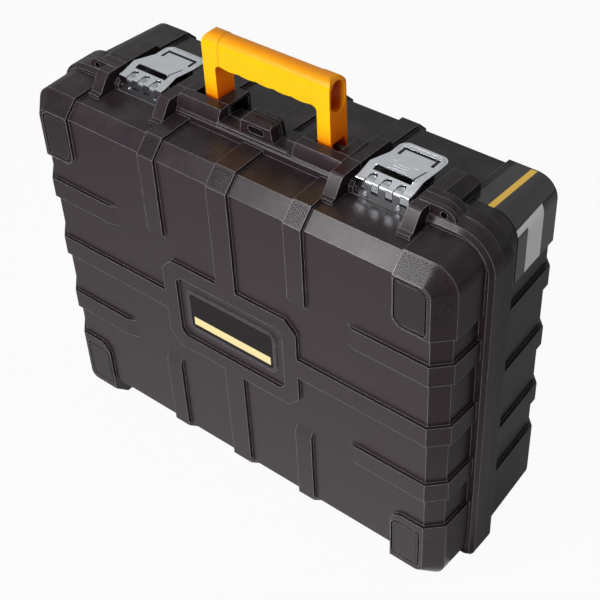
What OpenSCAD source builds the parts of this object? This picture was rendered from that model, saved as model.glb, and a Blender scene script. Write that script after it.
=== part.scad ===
// Hard tool case: two ribbed moulded shells hinged along their lower edge, closed by two
// stamped draw latches, with a fold-back carry handle between blocks on the upper edge.
// +X is the case's right, +Y its rear, +Z up. It stands on its hinge side, and the origin
// lies under the middle of the case, on the surface it stands on.

/* [Shells] */
// Width across the recessed side faces
body_w = 450; // [440:1:480]
// Height across the recessed top and bottom faces
body_h = 349; // [330:1:380]
// Depth of the lid, from the seam to its recessed front face
lid_depth = 63; // [58:1:75]
// Depth of the base, from the seam to its recessed rear face
base_depth = 102; // [95:1:120]
// Thickness of the shell walls
wall = 3; // [2.4:0.1:3.4]
// Radius of the shells' corners, seen from the front
corner_r = 21; // [19:0.5:26]
// Width of the bevel round the lid's front face
lid_bevel = 13; // [10:0.5:14]
// Width of the bevel round the base's rear face
base_bevel = 8; // [6:0.5:10]
// How far the lid's sides draw in towards the front
lid_draft = 1; // [0.5:0.1:1.5]
// How far the base's sides draw in towards the rear
base_draft = 4.5; // [3:0.1:5]
// Gap between the two shells at the seam
seam_gap = 0.4; // [0.3:0.1:0.8]
// Height of the feet, from the ground to the shells' recessed bottom
ground_gap = 15; // [14:0.5:16]

/* [Raised ribs] */
// Height of ribs, frame and corner pads above the shell faces
relief = 3.2; // [2:0.1:3.6]
// Length of the ramp at the end of a rib
rib_ramp = 7.5; // [4:0.5:10]
// Distance of the outer upright ribs from the middle
upright_x = 80; // [76:1:84]
// Width of the outer upright ribs
upright_w = 18; // [14:1:20]
// Width of the middle upright rib
middle_rib_w = 22; // [18:1:26]
// Where the upper upright ribs end, above the shells' bottom
upper_rib_end = 250.5; // [245:0.5:260]
// Where the lower upright ribs end, above the shells' bottom
lower_rib_end = 104.5; // [95:0.5:112]
// Spacing of the level ribs
level_pitch = 69.5; // [66:0.5:71]
// Height of the middle level rib above the shells' bottom
level_middle = 179; // [176:0.5:182]
// Width of the level ribs
level_w = 21; // [16:1:26]
// Distance from the middle at which the short level ribs end
level_end_x = 131; // [120:1:140]

/* [Name frame] */
// Width of the raised frame
frame_w = 155; // [150:1:165]
// Height of the raised frame
frame_h = 102; // [96:1:108]
// Corner cut of the raised frame
frame_cut = 12; // [8:1:16]
// Width of the frame's border
frame_border = 15.5; // [12:0.5:17]
// Width of the badge plate
badge_w = 97; // [90:1:104]
// Height of the badge plate
badge_h = 40; // [36:1:44]
// Thickness of the badge plate
badge_t = 2; // [1.5:0.1:2.5]

/* [Corner pads] */
// Width of a corner pad, from the shell's side
pad_w = 48; // [44:1:52]
// Height of a corner pad, from the shell's top or bottom
pad_h = 63; // [58:1:66]
// Width of a bumper plate
bumper_w = 28; // [24:1:30]
// Height of a bumper plate
bumper_h = 45; // [40:1:48]
// Width of the groove round a bumper plate
bumper_groove = 1.5; // [0.8:0.1:1.8]
// Thickness of a bumper plate
bumper_t = 2.4; // [1.5:0.1:2.6]

/* [Flange] */
// How far the flange stands out of the shells
flange_out = 9.5; // [8:0.5:10]
// Depth of the lid's flange
lid_flange = 16.5; // [15:0.5:18]
// Depth of the base's flange
base_flange = 14.5; // [13:0.5:16]
// Radius of the flange's upper corners
flange_r = 35; // [32:1:42]
// Bevel on the lid flange's front edge
flange_bevel = 3.5; // [2:0.5:4]
// Bevel on the base flange's rear edge
rear_bevel = 1; // [0.5:0.5:3]
// Fine bevel on both flanges along the seam
seam_bevel = 0.6; // [0.3:0.1:0.9]
// Width of the tongue that closes into the base
tongue_w = 2.2; // [1.8:0.1:2.4]
// Height of the tongue above the lid's edge
tongue_h = 2; // [1.5:0.1:2.2]
// Clearance round the tongue
tongue_gap = 0.4; // [0.4:0.05:0.5]

/* [Lid hinge] */
// Height of the hinge pins above the ground
hinge_z = 4.2; // [4.1:0.1:4.6]
// Outer radius of the hinge knuckles
knuckle_r = 3.8; // [3.4:0.1:3.9]
// Radius of the hinge pins
hinge_pin_r = 1.5; // [1.2:0.1:1.8]
// Length of one hinge knuckle
knuckle_len = 9; // [7:0.5:12]
// Distance of the outer hinges from the middle
hinge_x = 130; // [110:1:140]

/* [Top blocks] */
// Height of the blocks above the shells
block_rise = 19.5; // [18:0.5:21]
// Distance of a handle block's inner face from the middle
block_in_x = 40; // [38:1:42]
// Distance of a handle block's outer end from the middle
block_out_x = 87; // [86:0.5:88]
// Depth of a handle block behind the seam
block_rear = 28; // [26:0.5:32]
// Distance of a latch's middle from the middle of the case
latch_x = 130; // [126:1:134]
// Clear width between the two bosses beside a latch
bay_w = 62; // [58:1:66]
// Width of a boss beside a latch
boss_w = 12; // [10:0.5:13]
// Depth of a boss behind the seam
boss_rear = 44; // [40:1:48]

/* [Handle] */
// Width over the handle's legs
handle_w = 134.5; // [130:0.5:140]
// Width of a leg
leg_w = 13.5; // [12:0.5:14]
// Depth of the handle, front to rear
handle_d = 22; // [20:0.5:22]
// Height of the grip's top above the pivot
handle_h = 66; // [60:1:70]
// Height of the grip
grip_h = 27; // [24:1:30]
// Radius of the handle's pivot pins
handle_pin_r = 2.5; // [2:0.1:3]
// Height of the pivot below the tops of the blocks
pivot_drop = 7; // [6.5:0.1:7.2]

/* [Latches] */
// Width of a latch lever
lever_w = 51; // [46:0.5:54]
// Reach of a lever behind its pin
lever_reach = 58; // [56:1:62]
// Thickness of the latch's sheet steel
sheet = 1.3; // [1:0.1:1.6]
// Outer radius of the latch knuckles
latch_knuckle_r = 4.4; // [4:0.1:4.6]
// Radius of a latch pin
latch_pin_r = 1.8; // [1.4:0.1:2.2]
// Height of a latch pin above the flange
latch_pin_rise = 2.5; // [2.3:0.1:4]

/* [Hasp and eyelets] */
// Width of the padlock slot
slot_w = 17; // [14:0.5:20]
// Height of the padlock slot
slot_h = 6.4; // [5:0.2:7]
// Radius of the eyelet holes
eyelet_r = 3.2; // [2.6:0.1:3.6]

/* [Hidden] */
$fn = 48;

fit = 0.05;              // radial clearance of a pin in its hole
plastic = "#2b2829";
steel = "#c9cdd2";
yellow = "#f8c800";

depth = lid_depth + base_depth;
front_y = -depth / 2;            // the lid's recessed front face
rear_y = depth / 2;              // the base's recessed rear face
seam_y = front_y + lid_depth;
lid_edge_y = seam_y - seam_gap / 2;
base_edge_y = seam_y + seam_gap / 2;
body_top = ground_gap + body_h;
upper_rib_end_z = ground_gap + upper_rib_end;
lower_rib_end_z = ground_gap + lower_rib_end;
level_middle_z = ground_gap + level_middle;
flange_top = body_top + flange_out;
flange_bottom = ground_gap - flange_out;
flange_w = body_w + 2 * flange_out;
lid_flange_y = lid_edge_y - lid_flange;
base_flange_y = base_edge_y + base_flange;
block_top = body_top + block_rise;
inner_boss_x = latch_x - bay_w / 2 - boss_w / 2;
outer_boss_x = latch_x + bay_w / 2 + boss_w / 2;
over = 1;                        // how far a cut runs past the face it opens

// ---- Shell bodies -------------------------------------------------------------------

// How far a 45 degree corner shifts when its faces move out, in hundredths of a millimetre
function shift_45(out) = round(100 * out * tan(22.5)) / 100;

// A shell's outline as [y, inset] pairs: inset is how far its sides lie inside the body size.
// out moves every face outwards by that much, and a negative value inwards.
function lid_profile(out) = [
    [front_y - out, lid_draft + lid_bevel - shift_45(out)],
    [front_y + lid_bevel - shift_45(out), lid_draft - out],
    [lid_flange_y, -out],
    [lid_edge_y, -out]];

function base_profile(out) = [
    [base_edge_y, -out],
    [base_flange_y, -out],
    [rear_y - base_bevel + shift_45(out), base_draft - out],
    [rear_y + out, base_draft + base_bevel - shift_45(out)]];

// A tapered, bevelled box with round corners: two crossed extrusions and four quarter turns
module tub(profile, width, low, high, r) {
    n = len(profile) - 1;
    translate([0, 0, low + r]) linear_extrude(high - low - 2 * r)
        polygon(concat([for (p = profile) [width / 2 - p[1], p[0]]],
            [for (i = [n:-1:0]) [profile[i][1] - width / 2, profile[i][0]]]));
    translate([r - width / 2, 0, 0]) rotate([90, 0, 90]) linear_extrude(width - 2 * r)
        polygon(concat([for (p = profile) [p[0], high - p[1]]],
            [for (i = [n:-1:0]) [profile[i][0], low + profile[i][1]]]));
    for (corner = [[1, low + r, 0], [-1, low + r, 90], [-1, high - r, 180], [1, high - r, 270]])
        translate([corner[0] * (width / 2 - r), 0, corner[1]])
            rotate([-90, 0, 0]) rotate(corner[2]) rotate_extrude(angle = 90)
                polygon(concat([[0, profile[0][0]]], [for (p = profile) [r - p[1], p[0]]],
                    [[0, profile[n][0]]]));
}

module body_tub(profile) tub(profile, body_w, ground_gap, body_top, corner_r);

// A ring between two insets, used for the tongue and its groove
module ring(y0, y1, inset_out, inset_in) difference() {
    body_tub([[y0, inset_out], [y1, inset_out]]);
    body_tub([[y0 - over, inset_in], [y1 + over, inset_in]]);
}

// ---- Ribs ---------------------------------------------------------------------------

// What repeats left and right
module both_sides() for (s = [0, 1]) mirror([s, 0, 0]) children();

// Section of an upright rib, seen from the side, up from its ramp at z_end
module rising_section(z_end) polygon([
    [-front_y, z_end], [front_y, z_end], [front_y - relief, z_end + rib_ramp],
    [front_y - relief - over, z_end + rib_ramp],
    [front_y - relief - over, flange_top + 50], [-front_y, flange_top + 50]]);

module upper_upright(x, w, z_end) translate([x - w / 2, 0, 0])
    rotate([90, 0, 90]) linear_extrude(w) rising_section(z_end);

module lower_upright(x, w, z_end) translate([0, 0, z_end]) mirror([0, 0, 1])
    translate([0, 0, -z_end]) upper_upright(x, w, z_end);

// A level rib from x_end outwards, over the side
module level_rib(z, x_end) translate([0, 0, z - level_w / 2]) linear_extrude(level_w)
    polygon([[x_end, -front_y], [x_end, front_y], [x_end + rib_ramp, front_y - relief],
        [x_end + rib_ramp, front_y - relief - over],
        [flange_w, front_y - relief - over], [flange_w, -front_y]]);

// A rectangle with its own radius at each corner: low left, low right, high right, high left
module panel(w, h, r) {
    polygon([[r[0], 0], [w - r[1], 0], [w, r[1]], [w, h - r[2]], [w - r[2], h],
        [r[3], h], [0, h - r[3]], [0, r[0]]]);
    translate([r[0], r[0]]) circle(r[0]);
    translate([w - r[1], r[1]]) circle(r[1]);
    translate([w - r[2], h - r[2]]) circle(r[2]);
    translate([r[3], h - r[3]]) circle(r[3]);
}

// Stands a drawing in X and Z up, with its thickness running back from y_front
module upright_sheet(y_front, t) translate([0, y_front + t, 0]) rotate([90, 0, 0])
    linear_extrude(t) children();

module pad_sheet() both_sides() upright_sheet(front_y - 10, depth + 20) children();

// A pad's drawing runs past the shell's corner, which cuts it to shape
pad_reach = pad_w + pad_h;
module upper_pad_mask() pad_sheet()
    translate([body_w / 2 - pad_w, body_top - pad_h]) panel(pad_reach, pad_reach, [10, 1, 1, 1]);

// Room beside the seam under the flanges, so that the lid can swing round the hinge pins
foot_clear = 1.24 * hinge_z;
module swing_gap() translate([-flange_w, seam_y - foot_clear, -over])
    cube([2 * flange_w, 2 * foot_clear, flange_bottom + over]);

// A shell's raised surface: ribs, frame and pads. The lower pads reach the ground as feet,
// which the draft would lift by lift at their far end, so that much is given back to them.
module raised(profile, lift) {
    intersection() {
        body_tub(profile);
        union() {
            children();
            upper_pad_mask();
        }
    }
    difference() {
        intersection() {
            tub(profile, body_w, relief - lift, body_top, corner_r);
            pad_sheet() translate([body_w / 2 - pad_w, ground_gap + pad_h - pad_reach])
                panel(pad_reach, pad_reach, [1, 1, 1, 14]);
        }
        swing_gap();
        translate([-flange_w, -depth, -depth]) cube([2 * flange_w, 2 * depth, depth]);
    }
}

// Where the shell stands proud: written for the lid, and mirrored for the base
module rib_masks(frame) {
    upper_upright(0, middle_rib_w, frame ? level_middle_z : upper_rib_end_z);
    lower_upright(0, middle_rib_w, frame ? level_middle_z : lower_rib_end_z);
    both_sides() {
        upper_upright(upright_x, upright_w, upper_rib_end_z);
        lower_upright(upright_x, upright_w, lower_rib_end_z);
        level_rib(level_middle_z + level_pitch, level_end_x);
        level_rib(level_middle_z - level_pitch, level_end_x);
        level_rib(level_middle_z, frame ? frame_w / 2 - rib_ramp : level_end_x);
    }
    if (frame) upright_sheet(front_y - 10, 20) octagon(frame_w, frame_h, frame_cut);
}

// A rectangle with its corners cut off, centred on the name frame
module octagon(w, h, cut) translate([0, level_middle_z]) polygon([
    [cut - w / 2, -h / 2], [w / 2 - cut, -h / 2], [w / 2, cut - h / 2], [w / 2, h / 2 - cut],
    [w / 2 - cut, h / 2], [cut - w / 2, h / 2], [-w / 2, h / 2 - cut], [-w / 2, cut - h / 2]]);

// ---- Flange and what stands on it ---------------------------------------------------

// Profiles of the flanges, each with a bevelled outer edge and a fine bevel along the seam
lid_flange_profile = [[lid_flange_y, flange_bevel], [lid_flange_y + flange_bevel, 0],
    [lid_edge_y - seam_bevel, 0], [lid_edge_y, seam_bevel]];
base_flange_profile = [[base_edge_y, seam_bevel], [base_edge_y + seam_bevel, 0],
    [base_flange_y - rear_bevel, 0], [base_flange_y, rear_bevel]];

// The flange has wide upper corners, and close lower ones that reach the ground as feet
foot_r = 10;
module flange(profile) {
    middle_z = (flange_bottom + flange_top) / 2;
    intersection() {
        tub(profile, flange_w, flange_bottom, flange_top, flange_r);
        translate([-flange_w, -depth, middle_z]) cube([2 * flange_w, 2 * depth, flange_top]);
    }
    intersection() {
        tub(profile, flange_w, flange_bottom, flange_top, foot_r);
        translate([-flange_w, -depth, 0]) cube([2 * flange_w, 2 * depth, middle_z + over]);
    }
    difference() {
        intersection() {
            tub(profile, flange_w, 0, flange_top, foot_r);
            both_sides() translate([body_w / 2 - foot_r, -depth, -over])
                cube([flange_w, 2 * depth, middle_z]);
        }
        swing_gap();
    }
}

// A block seen from the side, drawn in Y and Z, that spans x0 to x1
module side_block(x0, x1) translate([x0, 0, 0]) rotate([90, 0, 90])
    linear_extrude(x1 - x0) children();

boss_top = block_top - 1;
boss_foot = 34;                  // from the seam to the foot of a boss's sloped front
boss_brow = 25;                  // from the seam to the top of that slope
shoe = 4;                        // the small plinth in front of the slope

module lid_boss(x) side_block(x - boss_w / 2, x + boss_w / 2) polygon([
    [seam_y - boss_foot - shoe, body_top - wall], [seam_y - boss_foot - shoe, body_top + 2.5],
    [seam_y - boss_foot, body_top + 3.5], [seam_y - boss_brow, boss_top - 2],
    [seam_y - boss_brow + 3, boss_top], [lid_edge_y, boss_top], [lid_edge_y, body_top - wall]]);

module lid_block() side_block(block_in_x, block_out_x) polygon([
    [lid_flange_y + 1, body_top], [lid_flange_y + 2.5, flange_top],
    [lid_flange_y + 4, block_top - 4], [lid_flange_y + 7, block_top],
    [lid_edge_y, block_top], [lid_edge_y, body_top]]);

// Rounded shoulder of the flange outside a latch, drawn in X and Z
eyelet_x = 186;
shoulder_x = outer_boss_x - boss_w / 2;
shoulder_w = eyelet_x + 11 - shoulder_x;
shoulder_t = 7;                  // depth of the shoulder behind the seam
module shoulder(y0, y1) upright_sheet(y0, y1 - y0)
    translate([shoulder_x, body_top - wall]) panel(shoulder_w, boss_top - body_top + wall, [1, 1, 16, 1]);

// The padlock hasp's outline, drawn in X and Z
hasp_top = block_top + 5;
hasp_slot_z = flange_top + 6;
hasp_foot_x = 18;
hasp_top_x = 11.5;
hasp_brow = 4.5;                 // radius of the hasp's upper corners
hasp_brow_cut = 1.3;             // where a flat between the two ends of the arc meets it
module hasp_outline() difference() {
    polygon([[-hasp_foot_x, flange_top - over], [hasp_foot_x, flange_top - over],
        [hasp_top_x + hasp_brow, hasp_top - hasp_brow],
        [hasp_top_x + hasp_brow - hasp_brow_cut, hasp_top - hasp_brow_cut], [hasp_top_x, hasp_top],
        [-hasp_top_x, hasp_top], [hasp_brow_cut - hasp_top_x - hasp_brow, hasp_top - hasp_brow_cut],
        [-hasp_top_x - hasp_brow, hasp_top - hasp_brow]]);
    translate([-slot_w / 2, hasp_slot_z - slot_h / 2])
        panel(slot_w, slot_h, [for (i = [0:3]) slot_h / 2 - 0.2]);
}

// The lid's half of the hasp leans back at the top, and stops short of the base's half
hasp_front_y = seam_y - 12;
hasp_t = 11;
hasp_lean = 6;                   // depth of the sloping brow, and half its height
module lid_hasp() intersection() {
    upright_sheet(hasp_front_y, hasp_t) hasp_outline();
    side_block(-hasp_foot_x, hasp_foot_x) polygon([[hasp_front_y, flange_top - over],
        [hasp_front_y, hasp_top - hasp_lean / 2], [hasp_front_y + hasp_lean, hasp_top],
        [hasp_front_y + hasp_t, hasp_top], [hasp_front_y + hasp_t, flange_top - over]]);
}

eyelet_t = 4;
eyelet_y = lid_flange_y + 4.5;
eyelet_z = flange_top + 3.5;
module eyelet() upright_sheet(eyelet_y, eyelet_t) translate([shoulder_x + 2, flange_top - 6])
    panel(eyelet_x + 9 - shoulder_x, eyelet_z + 6 - flange_top + 6, [1, 1, 11, 1]);

// The padlock hole runs through the eyelet and both shoulders
module eyelet_bores() both_sides() translate([eyelet_x, eyelet_y - over, eyelet_z])
    rotate([-90, 0, 0]) cylinder(r = eyelet_r, h = base_edge_y + shoulder_t - eyelet_y + 2 * over);

// ---- Lid hinge ----------------------------------------------------------------------

knuckle_gap = 0.4;
knuckles = 5;
hinge_len = knuckles * knuckle_len + (knuckles - 1) * knuckle_gap;

module along_x(x, y, z) translate([x, y, z]) rotate([0, 90, 0]) children();

// Space for a whole hinge in the edge of a flange
module hinge_gaps() for (x = [-hinge_x, 0, hinge_x])
    along_x(x - hinge_len / 2 - knuckle_gap, seam_y, hinge_z)
        cylinder(r = knuckle_r + 0.5, h = hinge_len + 2 * knuckle_gap);

// Every second knuckle from number first, each with the web that joins it to its flange
module knuckle_set(first, y_web) for (x = [-hinge_x, 0, hinge_x], i = [first:2:knuckles - 1])
    translate([x - hinge_len / 2 + i * (knuckle_len + knuckle_gap), 0, 0]) {
        along_x(0, seam_y, hinge_z) cylinder(r = knuckle_r, h = knuckle_len);
        translate([0, min(y_web, y_web < seam_y ? y_web : base_edge_y), hinge_z])
            cube([knuckle_len, knuckle_r + 1 - seam_gap / 2, knuckle_r + 1]);
    }

module hinge_bores() for (x = [-hinge_x, 0, hinge_x])
    along_x(x - hinge_len / 2 - over, seam_y, hinge_z)
        cylinder(r = hinge_pin_r + fit, h = hinge_len + 2 * over);

module hinge_pin(x) color(steel) along_x(x - hinge_len / 2, seam_y, hinge_z)
    cylinder(r = hinge_pin_r, h = hinge_len);

// ---- Latches ------------------------------------------------------------------------

latch_y = seam_y - 10.5;
latch_z = flange_top + latch_pin_rise;
leaf_w = 46;
leaf_y = latch_y - latch_knuckle_r;          // front of the leaf, level with the knuckles
leaf_low = body_top + 1;
leaf_top = latch_z - latch_knuckle_r - 1.8;   // clear of the lever's corners as it turns
leaf_tabs = 3;
leaf_tab_w = 6.2;
tab_gap = 0.5;
tab_pitch = 13.5;
leaf_lip = 2.6;                  // from the pin to the middle of a tab's round end
rivet_x = 16;
rivet_z = (leaf_low + leaf_top) / 2;
rivet_r = 1.2;
rivet_len = 6;

// What repeats at each of the leaf's knuckles
module at_leaf_tabs() for (i = [0:leaf_tabs - 1])
    translate([latch_x + (i - (leaf_tabs - 1) / 2) * tab_pitch, 0, 0]) children();

module leaf_pocket() {
    translate([latch_x - lever_w / 2 - 1, lid_flange_y - over, leaf_low])
        cube([lever_w + 2, leaf_y + sheet - lid_flange_y + over, flange_out + over]);
    translate([latch_x - lever_w / 2 - 1, leaf_y, leaf_top])
        cube([lever_w + 2, 4 * latch_knuckle_r, flange_out]);
}

module rivet_holes(r, y0, len) for (x = [-rivet_x, rivet_x])
    translate([latch_x + x, y0, rivet_z]) rotate([-90, 0, 0]) cylinder(r = r, h = len);

module latch_leaf() color(steel) difference() {
    union() {
        translate([latch_x - leaf_w / 2, leaf_y, leaf_low])
            cube([leaf_w, sheet, leaf_top - leaf_low]);
        at_leaf_tabs() {
            along_x(-leaf_tab_w / 2, latch_y, latch_z) cylinder(r = latch_knuckle_r, h = leaf_tab_w);
            translate([-leaf_tab_w / 2, leaf_y, leaf_top - over])
                cube([leaf_tab_w, sheet, latch_z - leaf_top + over]);
            // the sheet's round end, folded over the pin
            translate([0, latch_y + leaf_lip, lever_top - 0.2 - sheet])
                cylinder(r = leaf_tab_w / 2, h = sheet);
        }
    }
    along_x(latch_x - lever_w, latch_y, latch_z) cylinder(r = latch_pin_r + fit, h = 2 * lever_w);
    rivet_holes(rivet_r + fit, leaf_y - over, sheet + 2 * over);
}

module latch_rivets() color(steel) {
    rivet_holes(rivet_r, leaf_y - 0.3, rivet_len);
    rivet_holes(2.2, leaf_y - 0.9, 0.9);
}

module latch_pin() color(steel) along_x(latch_x - lever_w / 2 + 0.5, latch_y, latch_z)
    cylinder(r = latch_pin_r, h = lever_w - 1);

lever_top = latch_z + latch_knuckle_r;       // top of the lever over its pin
hump = 4.1;                                  // rise of the lever behind its pin
tail_drop = 4.6;                             // how far the tail lies below that
hump_y = latch_y + 15;
tail_y = latch_y + 39;
lever_end_y = latch_y + lever_reach;
hump_top = lever_top + hump;
tail_top = hump_top - tail_drop;
tail_w = lever_w - 5;
tail_r = 8;

// Section of the lever's sheet, t thick, from its pin to its rear end
module lever_section(t) polygon([
    [latch_y, lever_top], [hump_y, hump_top], [tail_y, tail_top], [lever_end_y, tail_top],
    [lever_end_y, tail_top - t], [tail_y, tail_top - t], [hump_y, hump_top - t],
    [latch_y, lever_top - t]]);

// The lever seen from above: square in front, then narrower, with round rear corners
module lever_plan() translate([latch_x, 0]) {
    polygon([[-lever_w / 2, latch_y - latch_knuckle_r], [lever_w / 2, latch_y - latch_knuckle_r],
        [lever_w / 2, hump_y], [tail_w / 2, tail_y], [-tail_w / 2, tail_y], [-lever_w / 2, hump_y]]);
    translate([-tail_w / 2, tail_y - over])
        panel(tail_w, lever_end_y - tail_y + over, [0, 0, tail_r, tail_r]);
}

// Stands a drawing in X and Y up through a latch
latch_reach_z = 20;
module through_latch() translate([0, 0, latch_z - latch_reach_z])
    linear_extrude(2 * latch_reach_z) children();

// The pressed finger plate: raised above the lever, and joined to it at the rear only
plate_w = 35;
plate_front_y = latch_y + 12;
plate_rear_y = latch_y + 37;
plate_rise = 2;
plate_gap = 0.6;
module finger_plate() side_block(latch_x - plate_w / 2, latch_x + plate_w / 2) polygon([
    [plate_front_y, hump_top + plate_rise], [plate_rear_y - 3, tail_top + 1.6],
    [plate_rear_y, tail_top + 0.2], [plate_rear_y, tail_top - 0.6],
    [plate_rear_y - 3.4, tail_top + 0.2], [plate_front_y + 0.3, hump_top + plate_rise - 2 * sheet],
    [plate_front_y, hump_top + plate_rise - sheet]]);

window_y = latch_y + 8.4;
module plate_window() translate([latch_x - plate_w / 2 - plate_gap, window_y])
    square([plate_w + 2 * plate_gap, plate_rear_y - window_y - 6]);

// The slot round the lever's finger tongue: one long cut with two short arms
tongue_slot_w = 3;
tongue_slot_x = 17.5;
tongue_slot_y = lever_end_y - 7;
tongue_arm = 11;
module tongue_slot() translate([latch_x, tongue_slot_y]) {
    translate([-tongue_slot_x, -tongue_slot_w])
        square([2 * tongue_slot_x, tongue_slot_w]);
    for (x = [-tongue_slot_x, tongue_slot_x - tongue_slot_w])
        translate([x, -tongue_arm]) square([tongue_slot_w, tongue_arm]);
}

// The lever's cut round each knuckle of the leaf, with a round rear end
knuckle_cut_y = leaf_lip + 0.4;
module knuckle_cuts() {
    cut = leaf_tab_w / 2 + tab_gap;
    at_leaf_tabs() {
        translate([-cut, latch_y - 2 * latch_knuckle_r])
            square([2 * cut, 2 * latch_knuckle_r + knuckle_cut_y]);
        translate([0, latch_y + knuckle_cut_y]) circle(cut);
    }
}

side_h = 4;                                  // height of the lever's turned-down sides
module lever_side(x) side_block(x, x + sheet) intersection() {
    lever_section(side_h);
    translate([latch_y + 6, latch_z - latch_reach_z]) square([hump_y - latch_y - 6, 2 * latch_reach_z]);
}

module latch_lever() color(steel) difference() {
    union() {
        difference() {
            union() {
                intersection() {
                    side_block(latch_x - lever_w / 2, latch_x + lever_w / 2) lever_section(sheet);
                    through_latch() lever_plan();
                }
                // knuckles round the pin, folded square at the front
                along_x(latch_x - lever_w / 2, latch_y, latch_z)
                    cylinder(r = latch_knuckle_r, h = lever_w);
                side_block(latch_x - lever_w / 2, latch_x + lever_w / 2)
                    translate([latch_y - latch_knuckle_r, latch_z - latch_knuckle_r])
                        panel(latch_knuckle_r, 2 * latch_knuckle_r, [1, 0, 0, 1]);
            }
            through_latch() {
                knuckle_cuts();
                plate_window();
                tongue_slot();
            }
        }
        lever_side(latch_x - lever_w / 2);
        lever_side(latch_x + lever_w / 2 - sheet);
        finger_plate();
    }
    along_x(latch_x - lever_w, latch_y, latch_z) cylinder(r = latch_pin_r + fit, h = 2 * lever_w);
}

// ---- Handle -------------------------------------------------------------------------

pivot_z = block_top - pivot_drop;
pivot_y = base_edge_y + 1.8 + handle_d / 2;
grip_top = pivot_z + handle_h;
grip_low = grip_top - grip_h;
leg_in_x = handle_w / 2 - leg_w;
well_in_x = leg_in_x - 2;
well_out_x = handle_w / 2 + 10;
well_floor = pivot_z - handle_d / 2 - 0.5;
handle_corner_r = 8;
fingers = 5;
finger_depth = 1;
grip_end_x = leg_in_x - 4;       // where the slimmer grip meets the end of the handle
grip_step = 0.5;                 // how much slimmer it is on each side

// Side view of the handle, with its faces moved in by slim: a round-topped bar over a
// foot that is round about its pivot
module handle_side(slim) {
    r = handle_d / 2 - slim;
    translate([pivot_y, pivot_z]) circle(r);
    translate([pivot_y - r, pivot_z]) square([2 * r, handle_h - handle_d / 2]);
    translate([pivot_y, grip_top - handle_d / 2]) circle(r);
}

// Front view of the handle
module handle_front() {
    foot_z = pivot_z - handle_d;
    difference() {
        translate([-handle_w / 2, foot_z])
            panel(handle_w, grip_top - foot_z, [1, 1, handle_corner_r, handle_corner_r]);
        translate([-leg_in_x, foot_z - over])
            panel(2 * leg_in_x, grip_low - foot_z + over, [1, 1, 4, 4]);
    }
    // finger swells under the grip
    finger_pitch = (2 * leg_in_x - 14) / fingers;
    finger_r = (pow(finger_pitch / 2, 2) + pow(finger_depth, 2)) / (2 * finger_depth);
    intersection() {
        for (i = [0:fingers - 1])
            translate([(i - (fingers - 1) / 2) * finger_pitch, grip_low + finger_r - finger_depth])
                circle(finger_r);
        translate([-leg_in_x, grip_low - finger_depth]) square([2 * leg_in_x, finger_depth + grip_h / 2]);
    }
}

// The oval mouth at each end of the hollow grip
hollow_r = 9.2;
hollow_h = 28;
hollow_drop = 18;
hollow_deep = 22;
module grip_hollow() both_sides()
    along_x(handle_w / 2 - hollow_deep, pivot_y, grip_top - hollow_drop) linear_extrude(hollow_deep + over) {
        for (z = [-1, 1]) translate([z * (hollow_h / 2 - hollow_r), 0]) circle(hollow_r);
        square([hollow_h - 2 * hollow_r, 2 * hollow_r], center = true);
    }

// Hollow in the outer face of each foot, open down into its well
foot_wall = 3;
foot_hollow = 5;
module foot_hollows() both_sides()
    translate([handle_w / 2 - foot_hollow, pivot_y - handle_d / 2 + foot_wall, pivot_z - handle_d])
        cube([foot_hollow + over, handle_d - 2 * foot_wall, handle_d + pivot_drop]);

module handle() color(yellow) difference() {
    intersection() {
        union() {
            both_sides() side_block(grip_end_x, handle_w / 2 + over) handle_side(0);
            side_block(-grip_end_x - over, grip_end_x + over) handle_side(grip_step);
        }
        upright_sheet(pivot_y - handle_d, 2 * handle_d) handle_front();
    }
    grip_hollow();
    foot_hollows();
    along_x(-handle_w, pivot_y, pivot_z) cylinder(r = handle_pin_r + fit, h = 2 * handle_w);
}

pin_in_x = block_in_x + 8;
pin_out_x = well_out_x + 5;
module handle_pin() color(steel) along_x(pin_in_x, pivot_y, pivot_z)
    cylinder(r = handle_pin_r, h = pin_out_x - pin_in_x);

// ---- Lid ----------------------------------------------------------------------------

bumper_x = body_w / 2 - pad_w + 2.5;
bumper_high_z = body_top - 15 - bumper_h;
bumper_low_z = ground_gap + 8;
function bumper_radii(high) = high ? [9, 3, 8, 3] : [3, 3, 3, 8];
bumper_floor = front_y - relief + bumper_t;

module bumper_outline(high, grow) translate([bumper_x - grow, (high ? bumper_high_z : bumper_low_z) - grow])
    panel(bumper_w + 2 * grow, bumper_h + 2 * grow, [for (r = bumper_radii(high)) r + grow]);

line_in = 1.8;                   // the fine line that follows a bumper plate's edge
line_w = 0.7;
line_deep = 0.5;
module corner_pad(high) color(plastic) difference() {
    upright_sheet(front_y - relief, bumper_t) bumper_outline(high, 0);
    upright_sheet(front_y - relief - over, line_deep + over) difference() {
        bumper_outline(high, -line_in);
        bumper_outline(high, -line_in - line_w);
    }
}

badge_floor = front_y + 0.8;
module badge_outline(grow, t) upright_sheet(badge_floor - t, t)
    translate([-badge_w / 2 - grow, level_middle_z + 0.5 - badge_h / 2 - grow])
        panel(badge_w + 2 * grow, badge_h + 2 * grow, [for (i = [0:3]) 4 + grow]);

module badge_plate() color("#161414") badge_outline(0, badge_t);

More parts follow.
